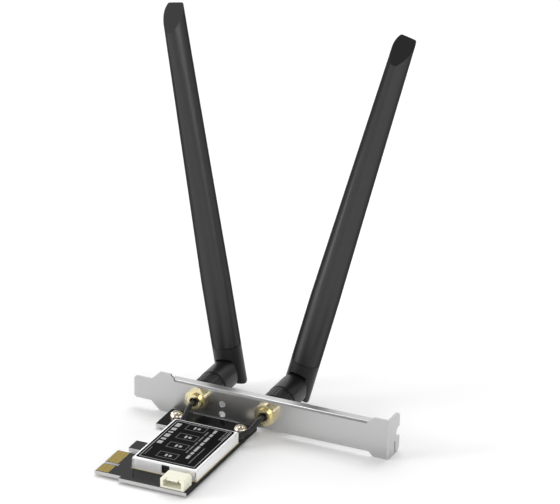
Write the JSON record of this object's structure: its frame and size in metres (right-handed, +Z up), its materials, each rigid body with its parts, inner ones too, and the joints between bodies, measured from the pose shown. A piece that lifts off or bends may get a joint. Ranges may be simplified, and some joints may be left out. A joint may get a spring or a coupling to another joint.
{
  "type": "pcie wifi card",
  "caption": "Small network card on a folded slot bracket, with a shielded radio, a cable header, an edge connector and tilting blade antennas on swivel screw-on connectors.",
  "frame": {"origin": "centre of the slot bracket's flat outer face, the face that lies against the rear panel", "axes": "+X along the bracket from its tongue to its screw tab, +Y out of the computer case along the antenna connectors, +Z up from the board's component side"},
  "size_m": [0.1233, 0.1221, 0.1743],
  "materials": {
    "bracket_nickel": "bright nickel plate over folded steel sheet",
    "board_black": "glossy black solder mask over glass and epoxy laminate",
    "contact_gold": "gold plate",
    "screw_brass": "bright yellow plate",
    "shield_tin": "tinned sheet, satin",
    "label_black": "printed film, semi-gloss",
    "socket_black": "moulded",
    "module_green": "glossy solder mask",
    "pad_grey": "soft",
    "chip_black": "moulded",
    "chip_tan": "fired ceramic with tinned ends",
    "header_cream": "moulded nylon",
    "pin_tin": "tin plate",
    "jack_gold": "gold plate",
    "insulator_white": "machined",
    "lead_black": "extruded jacket",
    "sleeve_black": "shrunk tube",
    "antenna_black": "fine satin moulded",
    "pin_steel": "drawn",
    "copper": "bare copper",
    "wire_brown": "extruded jacket"
  },
  "bodies": {
    "card": {"bracket": "bracket_nickel", "circuit_board": "board_black", "edge_contacts": "contact_gold", "board_screws": "screw_brass", "shield_cover": "shield_tin", "shield_fence": "shield_tin", "shield_land": "contact_gold", "shield_label": "label_black", "module_socket": "socket_black", "socket_contacts": "pin_tin", "module_board": "module_green", "module_shield": "shield_tin", "thermal_pad": "pad_grey", "module_standoff": "pin_tin", "module_screw": "pin_steel", "module_receptacles": "contact_gold", "lead_plugs": "pin_tin", "board_capacitors": "chip_tan", "supply_coil": "chip_black", "regulator_chip": "chip_black", "header_housing": "header_cream", "header_pins": "pin_tin", "jack_insulators": "insulator_white", "jack_pins": "contact_gold", "jack_washers": "jack_gold", "jack_nuts": "jack_gold", "left_jack": "jack_gold", "left_lead": "lead_black", "left_lead_sleeve": "sleeve_black", "right_jack": "jack_gold", "right_lead": "lead_black", "right_lead_sleeve": "sleeve_black"},
    "left_collar_body": {"left_collar": "antenna_black", "left_coupling_nut": "jack_gold"},
    "left_barrel_body": {"left_ferrule": "jack_gold", "left_plug_insulator": "insulator_white", "left_plug_contact": "contact_gold", "left_barrel": "antenna_black"},
    "left_blade_body": {"left_hinge_pin": "pin_steel", "left_knuckle": "antenna_black", "left_radome": "antenna_black", "left_aerial_wire": "wire_brown", "left_aerial_strip": "module_green", "left_aerial_traces": "copper"},
    "right_collar_body": {"right_collar": "antenna_black", "right_coupling_nut": "jack_gold"},
    "right_barrel_body": {"right_ferrule": "jack_gold", "right_plug_insulator": "insulator_white", "right_plug_contact": "contact_gold", "right_barrel": "antenna_black"},
    "right_blade_body": {"right_hinge_pin": "pin_steel", "right_knuckle": "antenna_black", "right_radome": "antenna_black", "right_aerial_wire": "wire_brown", "right_aerial_strip": "module_green", "right_aerial_traces": "copper"}
  },
  "joints": [
    {"name": "left_collar_spin", "type": "hinge", "parent": "card", "child": "left_collar_body", "pos_m": [-0.02931, 0.00914, 0.00079], "axis": [0, 1, 0], "continuous": true},
    {"name": "left_swivel", "type": "hinge", "parent": "card", "child": "left_barrel_body", "pos_m": [-0.02931, 0.01914, 0.00079], "axis": [0, 1, 0], "range_deg": [-169.65, 10.35]},
    {"name": "left_tilt", "type": "hinge", "parent": "left_barrel_body", "child": "left_blade_body", "pos_m": [-0.02931, 0.03154, 0.00079], "axis": [-0.9837, 0, -0.1797], "range_deg": [0, 90]},
    {"name": "right_collar_spin", "type": "hinge", "parent": "card", "child": "right_collar_body", "pos_m": [0.00344, 0.00914, 0.00079], "axis": [0, 1, 0], "continuous": true},
    {"name": "right_swivel", "type": "hinge", "parent": "card", "child": "right_barrel_body", "pos_m": [0.00344, 0.01914, 0.00079], "axis": [0, 1, 0], "range_deg": [-13.6, 166.4]},
    {"name": "right_tilt", "type": "hinge", "parent": "right_barrel_body", "child": "right_blade_body", "pos_m": [0.00344, 0.03154, 0.00079], "axis": [-0.972, 0, 0.2351], "range_deg": [-5, 85]}
  ]
}
